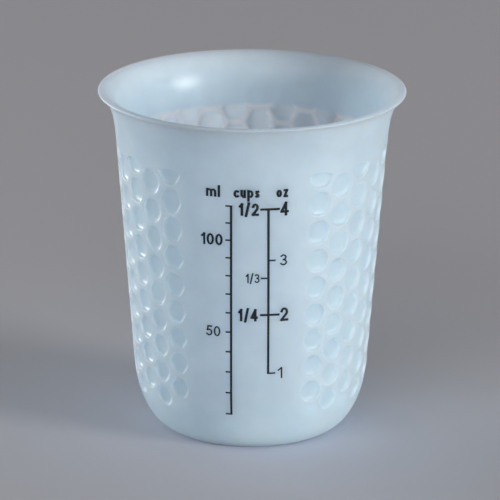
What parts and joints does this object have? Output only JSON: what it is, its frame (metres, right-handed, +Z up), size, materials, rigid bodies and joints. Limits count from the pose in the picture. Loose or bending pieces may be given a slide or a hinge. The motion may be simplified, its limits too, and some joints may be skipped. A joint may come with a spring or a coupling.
{
  "type": "measuring cup",
  "caption": "Soft moulded silicone measuring cup with a flared rim all round, a honeycomb grip and a scale printed on a smooth window.",
  "frame": {"origin": "centre of the flat underside, on the surface that the cup stands on", "axes": "+Z up along the cup's axis to the rim; the printed scale faces -Y; +X is to the right of someone who reads the scale"},
  "size_m": [0.0702, 0.0702, 0.08],
  "materials": {
    "silicone": "translucent satin silicone, pale blue",
    "ink": "printed black silicone ink"
  },
  "bodies": {
    "root": {"cup_body": "silicone", "millilitre_scale": "ink", "cup_and_ounce_scale": "ink"}
  },
  "joints": []
}
